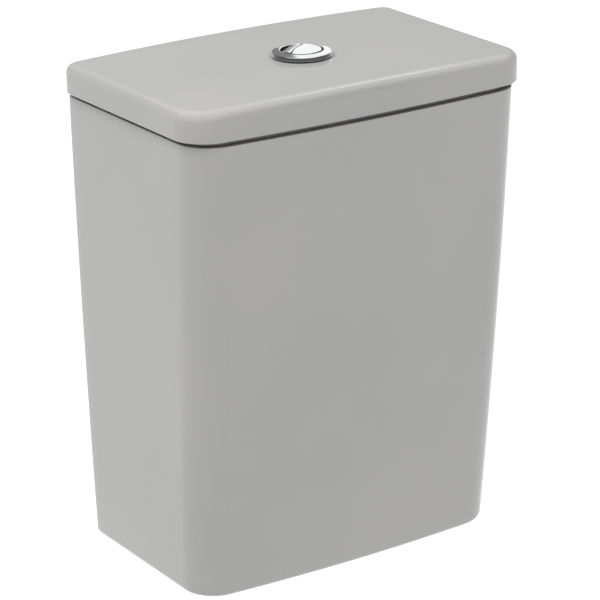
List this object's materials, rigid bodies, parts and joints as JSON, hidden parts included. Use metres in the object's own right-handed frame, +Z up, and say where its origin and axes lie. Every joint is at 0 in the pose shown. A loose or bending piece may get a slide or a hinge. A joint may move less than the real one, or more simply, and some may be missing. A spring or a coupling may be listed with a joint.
{
  "type": "toilet cistern",
  "caption": "Close-coupled toilet cistern: tapered glazed china tank, lift-off lid, chrome two-part push button, flush valve and float-operated fill valve inside.",
  "frame": {"origin": "on the flush outlet's axis at the tank's underside, midway between the two coupling bolts", "axes": "+Z up, +Y towards the wall behind the tank, -Y to the front, +X to the right seen from the front"},
  "size_m": [0.31, 0.2011, 0.4443],
  "materials": {
    "glazed_china": "smooth glossy pale grey glaze",
    "chrome_plate": "polished chrome plate",
    "white_plastic": "moulded, semi-gloss",
    "blue_plastic": "moulded, semi-gloss",
    "pale_blue_plastic": "moulded, semi-gloss",
    "grey_plastic": "moulded, semi-gloss",
    "yellow_plastic": "moulded, semi-gloss",
    "black_rubber": "matt moulded rubber",
    "foam_rubber": "matt closed-cell foam",
    "red_silicone": "matt silicone",
    "bright_steel": "bright drawn steel",
    "brass": "turned brass",
    "green_plastic": "fine moulded mesh"
  },
  "bodies": {
    "tank_body": {"tank": "glazed_china", "outlet_base": "white_plastic", "outlet_seal": "black_rubber", "outlet_back_nut": "white_plastic", "coupling_ring": "foam_rubber", "valve_tower": "white_plastic", "tower_head": "blue_plastic", "lever_pins": "bright_steel", "inlet_tail": "white_plastic", "inlet_filter": "green_plastic", "inlet_washer": "black_rubber", "inlet_back_nut": "white_plastic", "riser_pipe": "white_plastic", "valve_head": "white_plastic", "head_cap": "blue_plastic", "diaphragm": "black_rubber", "silencer_tube": "grey_plastic", "arm_pin": "bright_steel", "coupling_bolts": "brass", "bolt_plate_washers": "bright_steel", "bolt_rubber_washers": "black_rubber"},
    "lid_body": {"lid": "glazed_china", "lid_buffers": "black_rubber", "button_bezel": "chrome_plate", "button_housing": "white_plastic", "button_nut": "white_plastic", "full_spring": "bright_steel", "half_spring": "bright_steel"},
    "full_button": {"full_flush_button": "chrome_plate", "full_push_rod": "white_plastic"},
    "half_button": {"half_flush_button": "chrome_plate", "half_push_rod": "white_plastic"},
    "full_lever_body": {"full_lever": "yellow_plastic"},
    "half_lever_body": {"half_lever": "yellow_plastic"},
    "flush_tube": {"overflow_tube": "grey_plastic", "full_lift_hook": "blue_plastic", "flush_seal": "red_silicone", "seal_retainer": "grey_plastic"},
    "half_sleeve": {"half_flush_sleeve": "pale_blue_plastic", "sleeve_seals": "black_rubber", "half_lift_hook": "pale_blue_plastic"},
    "float": {"float_cup": "grey_plastic", "adjusting_rod": "bright_steel", "adjusting_nuts": "yellow_plastic"},
    "float_arm_body": {"float_arm": "white_plastic"}
  },
  "joints": [
    {"name": "lid_lift", "type": "slide", "parent": "tank_body", "child": "lid_body", "axis": [0, 0, 1], "range_m": [0, 0.15]},
    {"name": "full_press", "type": "slide", "parent": "lid_body", "child": "full_button", "axis": [0, 0, -1], "range_m": [0, 0.007], "stiffness_N_per_m": 350, "springref_m": -0.004, "deforming": ["full_spring"]},
    {"name": "half_press", "type": "slide", "parent": "lid_body", "child": "half_button", "axis": [0, 0, -1], "range_m": [0, 0.007], "stiffness_N_per_m": 350, "springref_m": -0.004, "deforming": ["half_spring"]},
    {"name": "full_lever_turn", "type": "hinge", "parent": "tank_body", "child": "full_lever_body", "pos_m": [-0.00599, -0.00631, 0.32022], "axis": [0, 1, 0], "range_deg": [0, 26.79]},
    {"name": "half_lever_turn", "type": "hinge", "parent": "tank_body", "child": "half_lever_body", "pos_m": [0.00599, 0.00631, 0.32022], "axis": [0, -1, 0], "range_deg": [0, 26.79]},
    {"name": "tube_lift", "type": "slide", "parent": "tank_body", "child": "flush_tube", "axis": [0, 0, 1], "range_m": [0, 0.00889]},
    {"name": "sleeve_lift", "type": "slide", "parent": "flush_tube", "child": "half_sleeve", "axis": [0, 0, 1], "range_m": [0, 0.00889]},
    {"name": "float_rise", "type": "slide", "parent": "tank_body", "child": "float", "axis": [0, 0, 1], "range_m": [0, 0.012]},
    {"name": "float_arm_turn", "type": "hinge", "parent": "tank_body", "child": "float_arm_body", "pos_m": [0.1007, 0.02, 0.30623], "axis": [0, 1, 0], "range_deg": [0, 20.88]}
  ],
  "couplings": [
    {"joint": "full_lever_turn", "follows": "full_press", "rad_per_m": 66.667},
    {"joint": "tube_lift", "follows": "full_press", "ratio": 1.2667},
    {"joint": "half_lever_turn", "follows": "half_press", "rad_per_m": 66.667},
    {"joint": "sleeve_lift", "follows": "half_press", "ratio": 1.2667},
    {"joint": "float_arm_turn", "follows": "float_rise", "rad_per_m": 30.303}
  ]
}
